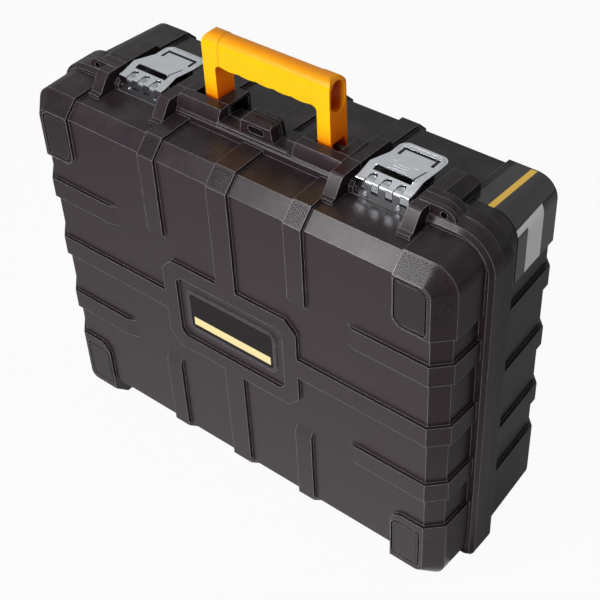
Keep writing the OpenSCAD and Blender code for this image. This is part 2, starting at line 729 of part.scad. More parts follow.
module lid_shell() color(plastic) difference() {
    union() {
        difference() {
            union() {
                body_tub(lid_profile(0));
                raised(lid_profile(relief), 0) rib_masks(true);
                flange(lid_flange_profile);
                // plain rim between the handle blocks, with a low ridge along its front
                translate([-block_in_x - over, lid_flange_y + 1, body_top])
                    cube([2 * (block_in_x + over), 5, flange_out]);
                translate([-block_in_x - over, lid_flange_y + 1.5, body_top])
                    cube([2 * (block_in_x - 2), 2, flange_out + 1]);
                both_sides() {
                    lid_block();
                    lid_boss(inner_boss_x);
                    lid_boss(outer_boss_x);
                    shoulder(lid_flange_y + 8, lid_edge_y);
                    eyelet();
                }
                lid_hasp();
            }
            body_tub([for (p = lid_profile(-wall)) [p[0] + (p[0] > seam_y - 1 ? over : 0), p[1]]]);
            // the frame's inner field
            upright_sheet(front_y - 20, 20)
                octagon(frame_w - 2 * frame_border, frame_h - 2 * frame_border, 6);
            both_sides() for (high = [false, true])
                upright_sheet(bumper_floor - 20, 20) bumper_outline(high, bumper_groove);
            hinge_gaps();
            both_sides() {
                leaf_pocket();
                rivet_holes(rivet_r + fit, leaf_y, rivet_len + 0.2);
            }
        }
        difference() {
            badge_outline(3.2, 2.2);
            badge_outline(0.3, 3);
        }
        knuckle_set(1, lid_edge_y - knuckle_r - 1 + seam_gap / 2);
        ring(lid_edge_y - over, lid_edge_y + seam_gap + tongue_h, 0.2, 0.2 + tongue_w);
    }
    badge_outline(0.15, 1.5);
    eyelet_bores();
    hinge_bores();
}

// ---- Base ---------------------------------------------------------------------------

module base_block() side_block(block_in_x, block_out_x) polygon([
    [base_edge_y, body_top - wall], [base_edge_y, block_top],
    [seam_y + block_rear - 3, block_top], [seam_y + block_rear, block_top - 3],
    [seam_y + block_rear, body_top - wall]]);

// Side view of a boss behind the seam
module base_boss_side() polygon([
    [base_edge_y, body_top - wall], [base_edge_y, boss_top], [seam_y + boss_rear - 6, boss_top - 1],
    [seam_y + boss_rear, boss_top - 7], [seam_y + boss_rear, body_top - wall]]);

module inner_base_boss() side_block(inner_boss_x - boss_w / 2, inner_boss_x + boss_w / 2)
    base_boss_side();

// The outer boss has a sloping outer side
boss_spread = 10;
boss_slope = 9;
module outer_base_boss() intersection() {
    boss_end_x = outer_boss_x + boss_w / 2;
    side_block(shoulder_x, boss_end_x + boss_spread) base_boss_side();
    upright_sheet(base_edge_y, boss_rear + over) polygon([
        [shoulder_x, body_top - wall], [shoulder_x, block_top], [boss_end_x, block_top],
        [boss_end_x, boss_top], [boss_end_x + boss_spread, boss_top - boss_slope],
        [boss_end_x + boss_spread, body_top - wall]]);
}

// Open pocket in the inner face of a handle block
pocket_depth = 8;
pocket_rim = 2;
module block_pocket() side_block(block_in_x - over, block_in_x + pocket_depth)
    translate([base_edge_y + pocket_rim, body_top + pocket_rim])
        panel(block_rear - 2 * pocket_rim - 1, block_rise - 2 * pocket_rim, [4, 4, 4, 4]);

module handle_well() translate([well_in_x, seam_y, well_floor])
    cube([well_out_x - well_in_x, block_rear + over, handle_h]);

// Ridge that the lever's tail closes over
catch_top = tail_top - sheet - 0.4;
catch_y = tail_y + 1;
catch_d = 6;
catch_w = 30;
module catch() side_block(latch_x - catch_w / 2, latch_x + catch_w / 2) polygon([
    [catch_y, body_top - wall], [catch_y, catch_top - 1], [catch_y + 1, catch_top],
    [catch_y + catch_d, catch_top], [catch_y + catch_d, body_top - wall]]);

module base_hasp() upright_sheet(base_edge_y + 0.8, 5) hasp_outline();

module base_shell() color(plastic) difference() {
    union() {
        difference() {
            union() {
                body_tub(base_profile(0));
                raised(base_profile(relief), base_draft) mirror([0, 1, 0]) rib_masks(false);
                flange(base_flange_profile);
                base_hasp();
                both_sides() {
                    base_block();
                    inner_base_boss();
                    outer_base_boss();
                    shoulder(base_edge_y, base_edge_y + shoulder_t);
                    catch();
                }
            }
            body_tub([for (p = base_profile(-wall)) [p[0] - (p[0] < seam_y + 1 ? over : 0), p[1]]]);
            hinge_gaps();
            ring(base_edge_y - over, base_edge_y + tongue_h + 0.8, 0.2 - tongue_gap,
                0.2 + tongue_w + tongue_gap);
            both_sides() {
                handle_well();
                block_pocket();
            }
        }
        knuckle_set(0, base_edge_y);
    }
    hinge_bores();
    eyelet_bores();
    both_sides() along_x(pin_in_x - over, pivot_y, pivot_z)
        cylinder(r = handle_pin_r + fit, h = pin_out_x - pin_in_x + over);
}

// A blank film label wrapped round the base's upper right corner pad
label_t = 0.3;
label_w = 64;
label_x = outer_boss_x + boss_w / 2 + boss_spread + 1;
module corner_label() color("#1d1b1c") intersection() {
    difference() {
        body_tub(base_profile(relief + 0.05 + label_t));
        body_tub([for (p = base_profile(relief + 0.05)) [p[0] < 0 ? p[0] - over : p[0] + over, p[1]]]);
    }
    translate([label_x, rear_y - base_bevel - label_w - 0.5, body_top - pad_h + 1])
        cube([pad_reach, label_w, pad_reach]);
}

lid_shell();
base_shell();
mirror([1, 0, 0]) corner_pad(true);  // corner_pad_top_left
corner_pad(true);  // corner_pad_top_right
mirror([1, 0, 0]) corner_pad(false);  // corner_pad_bottom_left
corner_pad(false);  // corner_pad_bottom_right
badge_plate();
corner_label();
handle();
mirror([1, 0, 0]) handle_pin();  // handle_pin_left
handle_pin();  // handle_pin_right
mirror([1, 0, 0]) latch_leaf();  // latch_leaf_left
latch_leaf();  // latch_leaf_right
mirror([1, 0, 0]) latch_lever();  // latch_lever_left
latch_lever();  // latch_lever_right
mirror([1, 0, 0]) latch_pin();  // latch_pin_left
latch_pin();  // latch_pin_right
mirror([1, 0, 0]) latch_rivets();  // latch_rivets_left
latch_rivets();  // latch_rivets_right
hinge_pin(-hinge_x);  // hinge_pin_left
hinge_pin(0);  // hinge_pin_middle
hinge_pin(hinge_x);  // hinge_pin_right
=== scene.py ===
# %% [markdown]
# # A hard tool case
#
# Two ribbed plastic shells, hinged along the edge they stand on, with two bright draw latches
# and a yellow carry handle on the opposite edge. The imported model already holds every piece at
# its real size. This lesson dresses it: soft moulded edges, fine plastic grain, plated steel,
# and light that lets black plastic show its form.

import math

import bmesh
import bpy
import numpy as np
from mathutils import Matrix, Vector


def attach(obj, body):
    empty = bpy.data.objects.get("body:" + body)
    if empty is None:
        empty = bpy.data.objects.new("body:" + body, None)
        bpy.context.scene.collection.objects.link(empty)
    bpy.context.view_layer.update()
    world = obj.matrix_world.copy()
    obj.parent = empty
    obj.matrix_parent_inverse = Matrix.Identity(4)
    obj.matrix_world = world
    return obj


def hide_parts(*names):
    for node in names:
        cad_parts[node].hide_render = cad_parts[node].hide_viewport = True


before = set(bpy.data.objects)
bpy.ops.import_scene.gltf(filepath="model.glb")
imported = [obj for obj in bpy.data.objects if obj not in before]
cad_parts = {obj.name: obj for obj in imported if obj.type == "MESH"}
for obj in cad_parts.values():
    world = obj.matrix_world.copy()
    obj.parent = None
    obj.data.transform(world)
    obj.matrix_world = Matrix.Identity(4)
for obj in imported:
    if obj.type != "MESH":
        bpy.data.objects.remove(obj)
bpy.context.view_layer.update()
MM = 0.001

# %% [markdown]
# ## The camera
#
# The view looks down on the case from its front right. A camera could be aimed with a Track To
# constraint, but a place and three turns are easier to read: how far round, how far down, and a
# small roll, in that order.

# %% Place the camera
CAMERA_PLACE = (0.6029, -0.6793, 0.9732)
CAMERA_ROUND = math.radians(41.09)
CAMERA_DOWN = math.radians(41.44)
CAMERA_ROLL = math.radians(-3.15)
FOCAL_LENGTH = 77.2
SENSOR = 36.0
CLIP_END = 20.0

camera = bpy.data.objects.new("camera", bpy.data.cameras.new("camera"))
camera.data.lens = FOCAL_LENGTH
camera.data.sensor_width = SENSOR
camera.data.clip_end = CLIP_END
camera.matrix_world = (
    Matrix.Translation(CAMERA_PLACE)
    @ Matrix.Rotation(CAMERA_ROUND, 4, "Z")
    @ Matrix.Rotation(math.pi / 2 - CAMERA_DOWN, 4, "X")
    @ Matrix.Rotation(CAMERA_ROLL, 4, "Z")
)
bpy.context.collection.objects.link(camera)
bpy.context.scene.camera = camera
bpy.context.scene.view_settings.view_transform = "Standard"
print("camera stands", round(Vector(CAMERA_PLACE).length, 3), "m from the origin")

# %% [markdown]
# ## Small helpers for node materials
#
# Each finish is a node tree. Three short helpers keep such trees readable in code: one adds a
# node with its settings, one links a value or an output into an input, and one does sums.

# %% Node helpers
def add(tree, kind, settings=None, **inputs):
    """Adds a node. settings are the node's own options, inputs are values or other outputs."""
    node = tree.nodes.new("ShaderNode" + kind)
    for name, value in (settings or {}).items():
        setattr(node, name, value)
    for name, value in inputs.items():
        feed(tree, node.inputs[name.replace("_", " ")], value)
    return node


def feed(tree, socket, value):
    """Links an output into a socket, or sets the socket to a plain value."""
    if isinstance(value, bpy.types.NodeSocket):
        tree.links.new(value, socket)
    else:
        socket.default_value = value


def calc(tree, operation, *values, clamp=False):
    """A Math node on one to three values, and its output."""
    node = tree.nodes.new("ShaderNodeMath")
    node.operation = operation
    node.use_clamp = clamp
    for socket, value in zip(node.inputs, values):
        feed(tree, socket, value)
    return node.outputs[0]


print("node helpers:", [helper.__name__ for helper in (add, feed, calc)])

# %% [markdown]
# An effect that several finishes use, such as grain, is a shader node group: a small tree with
# named inputs and outputs, built once. Copying its nodes into every finish would work too, but
# then a change has to be made many times.

# %% Start a group
def new_group(name, inputs, outputs):
    """A shader node group with named sockets. Returns its tree and its input and output nodes."""
    tree = bpy.data.node_groups.new(name, "ShaderNodeTree")
    for side, sockets in (("INPUT", inputs), ("OUTPUT", outputs)):
        for label, kind, value in sockets:
            socket = tree.interface.new_socket(label, in_out=side, socket_type="NodeSocket" + kind)
            if value is not None:
                socket.default_value = value
    return tree, tree.nodes.new("NodeGroupInput"), tree.nodes.new("NodeGroupOutput")


print("group helper:", new_group.__name__)

# %% [markdown]
# ## Moulded grain
#
# The shells come from a mould whose steel was etched, which leaves a fine leather-like skin.
# Two scales of noise do this well: small cells for the skin and a slow wave for the slight
# unevenness of a big flat wall. The group gives a height for a Bump node and a shade that
# varies the gloss.

# %% Grain group
grain, g_in, g_out = new_group(
    "moulded_grain",
    [("Cell size", "Float", 0.0007), ("Wave size", "Float", 0.09)],
    [("Height", "Float", None), ("Shade", "Float", None)],
)
CELL_SHARE = 0.7
FINE_SHARE = 0.5
FINE_SCALE = 0.6
where = add(grain, "TexCoord").outputs["Object"]
cells = add(
    grain, "TexVoronoi", {"feature": "SMOOTH_F1"}, Vector=where,
    Scale=calc(grain, "DIVIDE", 1.0, g_in.outputs["Cell size"]), Smoothness=0.4,
)
fine = add(
    grain, "TexNoise", None, Vector=where, Detail=2.0,
    Scale=calc(grain, "DIVIDE", FINE_SCALE, g_in.outputs["Cell size"]),
)
wave = add(
    grain, "TexNoise", None, Vector=where, Detail=3.0,
    Scale=calc(grain, "DIVIDE", 1.0, g_in.outputs["Wave size"]),
)
pores = calc(grain, "MULTIPLY", fine.outputs["Fac"], FINE_SHARE)
height = calc(grain, "MULTIPLY_ADD", cells.outputs["Distance"], CELL_SHARE, pores)
feed(grain, g_out.inputs["Height"], height)
feed(grain, g_out.inputs["Shade"], wave.outputs["Fac"])
print(grain.name, "has", len(grain.nodes), "nodes")

# %% [markdown]
# ## Edges: wear and painted highlights
#
# Handling polishes the edges of a case, so they catch the light first. The Bevel node gives
# the normal of a rounded edge: where it leaves the true normal, there is an edge. The group
# puts out a mask that each finish uses in its own way: the black shells paint their edges
# lighter as a painted highlight, the steels paint bright worn edges, and the handle paints its
# edges paler.

# %% Edge wear group
wear_and_highlight, g_in, g_out = new_group("edge_wear_and_highlight", [("Radius", "Float", 0.0008)], [("Mask", "Float", None)])
rounded = add(wear_and_highlight, "Bevel", {"samples": 4}, Radius=g_in.outputs["Radius"])
flat = add(wear_and_highlight, "NewGeometry")
likeness = add(wear_and_highlight, "VectorMath", {"operation": "DOT_PRODUCT"})
feed(wear_and_highlight, likeness.inputs[0], rounded.outputs["Normal"])
feed(wear_and_highlight, likeness.inputs[1], flat.outputs["Normal"])
spread = add(wear_and_highlight, "MapRange", None, Value=likeness.outputs["Value"])
EDGE_STARTS = 0.995
EDGE_FULL = 0.9
spread.inputs["From Min"].default_value = EDGE_STARTS
spread.inputs["From Max"].default_value = EDGE_FULL
feed(wear_and_highlight, g_out.inputs["Mask"], spread.outputs["Result"])
print(wear_and_highlight.name, "has", len(wear_and_highlight.nodes), "nodes")

# %% [markdown]
# ## Dust
#
# A little pale dust lies on faces that look up, more in some spots than in others. The mask is
# the upward part of the normal times a broken noise.

# %% Dust group
dust, g_in, g_out = new_group("dust", [("Amount", "Float", 0.2)], [("Mask", "Float", None)])
coordinates = add(dust, "TexCoord")
spots = add(
    dust, "TexNoise", None, Vector=coordinates.outputs["Object"],
    Scale=38.0, Detail=5.0, Roughness=0.65,
)
upward = add(dust, "SeparateXYZ", None, Vector=coordinates.outputs["Normal"]).outputs["Z"]
CLEAN_BELOW = 0.42
broken = calc(dust, "SUBTRACT", spots.outputs["Fac"], CLEAN_BELOW, clamp=True)
mask = calc(dust, "MULTIPLY", calc(dust, "MAXIMUM", upward, 0.0), broken)
feed(dust, g_out.inputs["Mask"], calc(dust, "MULTIPLY", mask, g_in.outputs["Amount"]))
print(dust.name, "has", len(dust.nodes), "nodes")

# %% [markdown]
# ## Dimpled patches
#
# Where a rib or a corner pad crosses the bevel round the lid, the mould has a field of small
# dimples. They follow the edge, so the pattern runs along the outline of the case and up the
# bevel. The outline is straight, then turns a round corner, then is straight again:
# along = min(|x|, corner) + radius * angle - min(|z|, corner), with z from the middle, and
# up = y * SLOPE_LENGTH, since the bevel is longer than it is deep. Three cosines, 60 degrees
# apart, add up to a regular field of dots. Modelled dimples would need tens of thousands of
# faces for a depth that can hardly be measured, so a group is the better way.

# %% Where a point lies along the outline
HALF_WIDTH = 0.225
CORNER_RADIUS = 0.021
SHELL_TOP = 0.364
SHELL_BOTTOM = 0.015
MIDDLE_Z = (SHELL_TOP + SHELL_BOTTOM) / 2
FRONT_Y = -0.0825
LID_BEVEL = 0.013

dimples, g_in, g_out = new_group(
    "dimples", [("Pitch", "Float", 0.0022)], [("Height", "Float", None), ("Mask", "Float", None)]
)
axes = add(dimples, "SeparateXYZ", None, Vector=add(dimples, "TexCoord").outputs["Object"])
side_x = calc(dimples, "ABSOLUTE", axes.outputs["X"])
side_z = calc(dimples, "ABSOLUTE", calc(dimples, "SUBTRACT", axes.outputs["Z"], MIDDLE_Z))
corner_x = HALF_WIDTH - CORNER_RADIUS
corner_z = MIDDLE_Z - SHELL_BOTTOM - CORNER_RADIUS
past_x = calc(dimples, "MAXIMUM", calc(dimples, "SUBTRACT", side_x, corner_x), 0.0)
past_z = calc(dimples, "MAXIMUM", calc(dimples, "SUBTRACT", side_z, corner_z), 0.0)
turn = calc(dimples, "ARCTAN2", past_x, past_z)
to_corner = calc(dimples, "MINIMUM", side_x, corner_x)
along = calc(dimples, "MULTIPLY_ADD", turn, CORNER_RADIUS, to_corner)
along = calc(dimples, "SUBTRACT", along, calc(dimples, "MINIMUM", side_z, corner_z))
SLOPE_LENGTH = 1.3
up = calc(dimples, "MULTIPLY", axes.outputs["Y"], SLOPE_LENGTH)
print("the outline turns a corner of", CORNER_RADIUS / MM, "mm")

# %% [markdown]
# Each cosine runs in its own direction, and the dots are where all three are high together:
# dots = clamp((sum of cosines - floor) * gain). A row lies 0.866 of the pitch from the next one,
# the height of a triangle with sides of 1.

# %% The field of dots
ROW_HEIGHT = 0.866
DIRECTIONS = (0, 60, 120)
DOT_FLOOR = 0.2
DOT_GAIN = 1.1
waves = None
for angle in map(math.radians, DIRECTIONS):
    across = calc(dimples, "MULTIPLY", up, math.sin(angle))
    phase = calc(dimples, "ADD", calc(dimples, "MULTIPLY", along, math.cos(angle)), across)
    turns = calc(dimples, "MULTIPLY", phase, 2 * math.pi / ROW_HEIGHT)
    cosine = calc(dimples, "COSINE", calc(dimples, "DIVIDE", turns, g_in.outputs["Pitch"]))
    waves = cosine if waves is None else calc(dimples, "ADD", waves, cosine)
dots = calc(dimples, "SUBTRACT", waves, DOT_FLOOR)
dots = calc(dimples, "MULTIPLY", dots, DOT_GAIN, clamp=True)
print("the dots are made of waves at", DIRECTIONS, "degrees")

# %% [markdown]
# The field shows only on the bevel, and there only on the ribs and the corner pads. A helper
# gives 1 inside a range and 0 outside, and products and sums of such ranges make the patch.

# %% Where the dots show
def between(tree, value, low, high, soft=0.4 * MM):
    """1 where low < value < high, with a soft edge of the given width."""
    rising = calc(tree, "DIVIDE", calc(tree, "SUBTRACT", value, low), soft, clamp=True)
    falling = calc(tree, "DIVIDE", calc(tree, "SUBTRACT", high, value), soft, clamp=True)
    return calc(tree, "MULTIPLY", rising, falling)


MIDDLE_RIB = 0.011
OUTER_RIB = (0.071, 0.089)
PAD_X = 0.177
PAD_Z = 0.127
BEVEL_Y = (FRONT_Y - 2 * MM, FRONT_Y + LID_BEVEL - 3 * MM)
INSET = 1 * MM
on_bevel = between(dimples, axes.outputs["Y"], *BEVEL_Y)
on_rib = calc(dimples, "ADD", between(dimples, side_x, -HALF_WIDTH, MIDDLE_RIB - INSET),
              between(dimples, side_x, OUTER_RIB[0] + INSET, OUTER_RIB[1] - INSET))
on_rib = calc(dimples, "MULTIPLY", on_rib, calc(dimples, "GREATER_THAN", side_z, corner_z))
on_pad = calc(dimples, "MULTIPLY", calc(dimples, "GREATER_THAN", side_x, PAD_X + INSET),
              calc(dimples, "GREATER_THAN", side_z, PAD_Z))
here = calc(dimples, "MULTIPLY", on_bevel, calc(dimples, "ADD", on_rib, on_pad, clamp=True))
dots = calc(dimples, "MULTIPLY", dots, here)
feed(dimples, g_out.inputs["Height"], calc(dimples, "SUBTRACT", 1.0, dots))
feed(dimples, g_out.inputs["Mask"], dots)
print(dimples.name, "has", len(dimples.nodes), "nodes")

# %% [markdown]
# ## Helpers for a finish
#
# A finish is one material with one Principled shader. These helpers start it, place a group in
# it and mix two of its colours.

# %% Finish helpers
def new_finish(name, **values):
    """A material with one Principled shader, whose constant values go straight on its sockets."""
    material = bpy.data.materials.new(name)
    material.use_nodes = True
    shader = material.node_tree.nodes["Principled BSDF"]
    for label, value in values.items():
        shader.inputs[label.replace("_", " ")].default_value = value
    return material, material.node_tree, shader


def use_group(tree, group, **inputs):
    """Places a group in a tree with its own values."""
    node = tree.nodes.new("ShaderNodeGroup")
    node.node_tree = group
    for name, value in inputs.items():
        feed(tree, node.inputs[name.replace("_", " ")], value)
    return node


def blend_colours(tree, amount, first, second):
    """Mixes two colours by amount, and gives the result's output."""
    node = tree.nodes.new("ShaderNodeMix")
    node.data_type = "RGBA"
    feed(tree, node.inputs[0], amount)
    feed(tree, node.inputs[6], first)
    feed(tree, node.inputs[7], second)
    return node.outputs[2]


print("finish helpers:", [helper.__name__ for helper in (new_finish, use_group, blend_colours)])

# %% [markdown]
# ## Black shell plastic
#
# Black plastic isn't black: its body colour is a very dark warm grey, and what the eye reads
# is mostly gloss. So the colour stays low, and most of the work goes into roughness and bump;
# the edges are painted lighter as a painted highlight, and the lid's dimples darker as painted
# shade. One function makes the plastic of the lid, the base and the pads, each with its own
# colours; the base's darker colours are painted shade.

# %% Shell finish
DUST_COLOUR = (0.30, 0.28, 0.26, 1)
DIMPLE_SHADE_COLOUR = (0.004, 0.003, 0.003, 1)
EDGE_SHOWS = 0.9
DUST_AMOUNT = 0.25
SHELL_GLOSS = (0.12, 0.21)
EDGE_POLISH = 0.08
DIMPLE_SHADE_AMOUNT = 0.85


def shell_finish(name, colour, edge_highlight_colour, with_dimples):
    """Dark moulded plastic: grain, slow changes of gloss, polished edges painted lighter as a
    painted highlight, and dimples on the lid painted darker as painted shade.
    Roughness = shade * SHELL_GLOSS[0] + SHELL_GLOSS[1] - edge * EDGE_POLISH."""
    material, tree, shader = new_finish(name, Specular_IOR_Level=0.3)
    skin = use_group(tree, grain)
    edge = use_group(tree, wear_and_highlight).outputs["Mask"]
    lint = use_group(tree, dust, Amount=DUST_AMOUNT).outputs["Mask"]
    # Painted highlight: edges are painted in the lighter edge colour where the edge mask is.
    base = blend_colours(tree, calc(tree, "MULTIPLY", edge, EDGE_SHOWS), colour, edge_highlight_colour)
    base = blend_colours(tree, lint, base, DUST_COLOUR)
    feed(tree, shader.inputs["Base Color"], base)
    rough = calc(tree, "MULTIPLY_ADD", skin.outputs["Shade"], *SHELL_GLOSS)
    rough = calc(tree, "SUBTRACT", rough, calc(tree, "MULTIPLY", edge, EDGE_POLISH))
    feed(tree, shader.inputs["Roughness"], rough)
    bump = add(tree, "Bump", None, Strength=0.35, Distance=0.2 * MM, Height=skin.outputs["Height"])
    if with_dimples:
        dots = use_group(tree, dimples)
        bump = add(tree, "Bump", None, Strength=1.0, Distance=0.6 * MM,
                   Height=dots.outputs["Height"], Normal=bump.outputs["Normal"])
        # Painted shade: the dimples are painted darker, as shade in their hollows.
        hollow = calc(tree, "MULTIPLY", dots.outputs["Mask"], DIMPLE_SHADE_AMOUNT)
        feed(tree, shader.inputs["Base Color"], blend_colours(tree, hollow, base, DIMPLE_SHADE_COLOUR))
    feed(tree, shader.inputs["Normal"], bump.outputs["Normal"])
    return material


lid_plastic = shell_finish(
    "lid_plastic", colour=(0.0205, 0.0122, 0.0165, 1), edge_highlight_colour=(0.30, 0.29, 0.30, 1),
    with_dimples=True,
)
# Painted shade: the base's colours are darker than the lid's, as shade on the base.
shaded_base_plastic = shell_finish(
    "shaded_base_plastic", colour=(0.0105, 0.0072, 0.0070, 1), edge_highlight_colour=(0.22, 0.21, 0.21, 1),
    with_dimples=False,
)
pad_plastic = shell_finish(
    "pad_plastic", colour=(0.0135, 0.0095, 0.0110, 1), edge_highlight_colour=(0.06, 0.055, 0.058, 1),
    with_dimples=False,
)
print("shell plastics:", lid_plastic.name, shaded_base_plastic.name, pad_plastic.name)

# %% [markdown]
# ## Plated steel
#
# The levers are stamped from bright plated sheet. A perfect mirror looks like glass, so the finish
# keeps the faint lines of the rolling mill, drawn out along one axis by a Mapping node, and a
# cloud that dulls the plating here and there. The leaves, the pins and the blackened handle pins
# use the same recipe with their own colour and roughness; the leaves' darker colour is painted
# shade, for the leaves that sit in shade under the levers.

# %% Steel finish
BRIGHT_EDGE = (0.95, 0.96, 0.98, 1)
EDGE_WORN = 0.6
CLOUD_TINT = 0.86
MILL_SCALE = (60.0, 900.0, 900.0)
LINE_SPAN = 0.14


def steel_finish(name, colour, roughness):
    """Plated or plain steel: metallic, with faint rolling lines and bright edges. Roughness =
    lines * LINE_SPAN + roughness."""
    material, tree, shader = new_finish(name, Metallic=1.0)
    place = add(tree, "TexCoord").outputs["Object"]
    stretched = add(tree, "Mapping", None, Vector=place, Scale=MILL_SCALE)
    lines = add(tree, "TexNoise", None, Vector=stretched.outputs["Vector"], Scale=1.0, Detail=3.0)
    cloud = add(tree, "TexNoise", None, Vector=place, Scale=60.0, Detail=3.0)
    edge = use_group(tree, wear_and_highlight, Radius=0.4 * MM).outputs["Mask"]
    tint = [part * CLOUD_TINT for part in colour[:3]] + [1]
    tint = blend_colours(tree, cloud.outputs["Fac"], colour, tint)
    worn = calc(tree, "MULTIPLY", edge, EDGE_WORN)
    feed(tree, shader.inputs["Base Color"], blend_colours(tree, worn, tint, BRIGHT_EDGE))
    dull = calc(tree, "MULTIPLY_ADD", lines.outputs["Fac"], LINE_SPAN, roughness)
    feed(tree, shader.inputs["Roughness"], dull)
    bump = add(tree, "Bump", None, Strength=0.15, Distance=0.05 * MM, Height=lines.outputs["Fac"])
    feed(tree, shader.inputs["Normal"], bump.outputs["Normal"])
    return material


latch_steel = steel_finish("latch_steel", colour=(0.91, 0.95, 1.0, 1), roughness=0.10)
# Painted shade: the leaf steel is darker than the lever steel, as shade under the levers.
shaded_leaf_steel = steel_finish("shaded_leaf_steel", colour=(0.55, 0.57, 0.60, 1), roughness=0.30)
pin_steel = steel_finish("pin_steel", colour=(0.62, 0.62, 0.64, 1), roughness=0.26)
black_steel = steel_finish("black_steel", colour=(0.10, 0.09, 0.09, 1), roughness=0.42)
print("steels:", latch_steel.name, shaded_leaf_steel.name, pin_steel.name, black_steel.name)

# %% [markdown]
# ## One skin for the smoother pieces
#
# Handle, badge and label end in the same way: a colour, a roughness that follows the slow wave,
# and one shallow bump. Only their numbers differ, so one helper does all three.

# %% End a finish with one grain
def grained(tree, shader, skin, colour, span, least, strength, depth):
    """Finishes a shader that has one grain: its colour, roughness = shade * span + least, and a
    bump of the given strength and depth."""
    feed(tree, shader.inputs["Base Color"], colour)
    rough = calc(tree, "MULTIPLY_ADD", skin.outputs["Shade"], span, least)
    feed(tree, shader.inputs["Roughness"], rough)
    bump = add(tree, "Bump", None, Strength=strength, Distance=depth, Height=skin.outputs["Height"])
    feed(tree, shader.inputs["Normal"], bump.outputs["Normal"])


print("finish helper:", grained.__name__)

# %% [markdown]
# ## Handle plastic
#
# The handle is a hollow moulding in yellow plastic that lets a little light through. A little
# subsurface scattering softens it. Its colour is painted from yellow in front to orange on top
# and on the right, as painted shade where less light falls, and to red in the hollow, as painted
# shade that ambient occlusion finds.

# %% Handle finish
YELLOW = ((0.88, 0.51, 0.003, 1), (0.86, 0.46, 0.002, 1))
SHADE_ORANGE = (0.98, 0.22, 0.001, 1)
HOLLOW_SHADE_RED = (0.70, 0.06, 0.002, 1)
PALE_EDGE = (1.0, 0.62, 0.06, 1)
TOP_SHARE = 0.75
SHADE_ORANGE_RAMP = (1.3, -0.35)
RED_GAIN = 1.5
EDGE_PALE = 0.3


def handle_finish():
    """Yellow plastic: smooth gloss, painted orange on top and on the right as painted shade, the
    colour of light that has come a long way through it, and painted red down inside the hollow
    grip as painted shade. With the normal n, the orange's share is
    clamp(max(n.x, n.z * TOP_SHARE) * SHADE_ORANGE_RAMP[0] + SHADE_ORANGE_RAMP[1])."""
    material, tree, shader = new_finish(
        "handle_yellow", Specular_IOR_Level=0.3, Subsurface_Weight=0.25,
        Subsurface_Radius=(1.0, 0.45, 0.05), Subsurface_Scale=0.008,
    )
    skin = use_group(tree, grain, Cell_size=0.9 * MM, Wave_size=50 * MM)
    edge = use_group(tree, wear_and_highlight, Radius=1 * MM).outputs["Mask"]
    cavity = add(tree, "AmbientOcclusion", {"samples": 6}, Distance=0.02)
    shade = calc(tree, "SUBTRACT", 1.0, cavity.outputs["AO"], clamp=True)
    base = blend_colours(tree, skin.outputs["Shade"], *YELLOW)
    # Painted shade: faces that look up and to the right are painted orange.
    facing = add(tree, "SeparateXYZ", None, Vector=add(tree, "TexCoord").outputs["Normal"])
    facing_up = calc(tree, "MULTIPLY", facing.outputs["Z"], TOP_SHARE)
    shade_orange_share = calc(tree, "MAXIMUM", facing.outputs["X"], facing_up)
    shade_orange_share = calc(tree, "MULTIPLY_ADD", shade_orange_share, *SHADE_ORANGE_RAMP, clamp=True)
    base = blend_colours(tree, shade_orange_share, base, SHADE_ORANGE)
    # Painted shade: red where ambient occlusion finds the hollow.
    red = calc(tree, "MULTIPLY", shade, RED_GAIN, clamp=True)
    base = blend_colours(tree, red, base, HOLLOW_SHADE_RED)
    base = blend_colours(tree, calc(tree, "MULTIPLY", edge, EDGE_PALE), base, PALE_EDGE)
    grained(tree, shader, skin, base, span=0.1, least=0.30, strength=0.12, depth=0.2 * MM)
    return material


handle_yellow = handle_finish()
print(handle_yellow.name, "has", len(handle_yellow.node_tree.nodes), "nodes")

# %% [markdown]
# ## Badge
#
# The plate in the middle of the lid is left bare: satin black with one plain pale stripe. The
# stripe is printed, so it has no height, and two ranges of x and z are enough to place it.

# %% Badge finish
STRIPE_Z = (0.1785, 0.1880)
STRIPE_X = (-0.0455, 0.0455)
BADGE_BLACK = (0.010, 0.008, 0.009, 1)
STRIPE_COLOUR = (0.72, 0.60, 0.30, 1)


def badge_finish():
    """Satin black plate with a plain pale stripe across its lower half."""
    material, tree, shader = new_finish("badge_black", Specular_IOR_Level=0.12)
    place = add(tree, "SeparateXYZ", None, Vector=add(tree, "TexCoord").outputs["Object"])
    stripe = between(tree, place.outputs["Z"], *STRIPE_Z)
    stripe = calc(tree, "MULTIPLY", stripe, between(tree, place.outputs["X"], *STRIPE_X))
    skin = use_group(tree, grain, Cell_size=0.6 * MM)
    base = blend_colours(tree, stripe, BADGE_BLACK, STRIPE_COLOUR)
    grained(tree, shader, skin, base, span=0.1, least=0.42, strength=0.08, depth=0.1 * MM)
    return material


badge_black = badge_finish()
print("the stripe is", round((STRIPE_Z[1] - STRIPE_Z[0]) / MM, 1), "mm high")

# %% [markdown]
# ## Corner label
#
# A film is stuck over the shoulder of the base. It stays blank: dark gloss, a plain yellow band
# on top, and on the side a plain pale panel with a dark field in it. Each is a range on two
# axes, which follows the film round the corner with no seam.

# %% Label finish
BAND_X = (0.1985, 0.2045)
BAND_ABOVE_Z = 0.34
PANEL = ((0.0, 0.052), (0.300, 0.3535))
FIELD = ((0.0, 0.026), (0.3015, 0.348))
FILM_BLACK = (0.014, 0.012, 0.012, 1)
BAND_YELLOW = (1.0, 0.62, 0.06, 1)
PANEL_PALE = (0.95, 0.94, 0.93, 1)
FIELD_DARK = (0.030, 0.024, 0.022, 1)


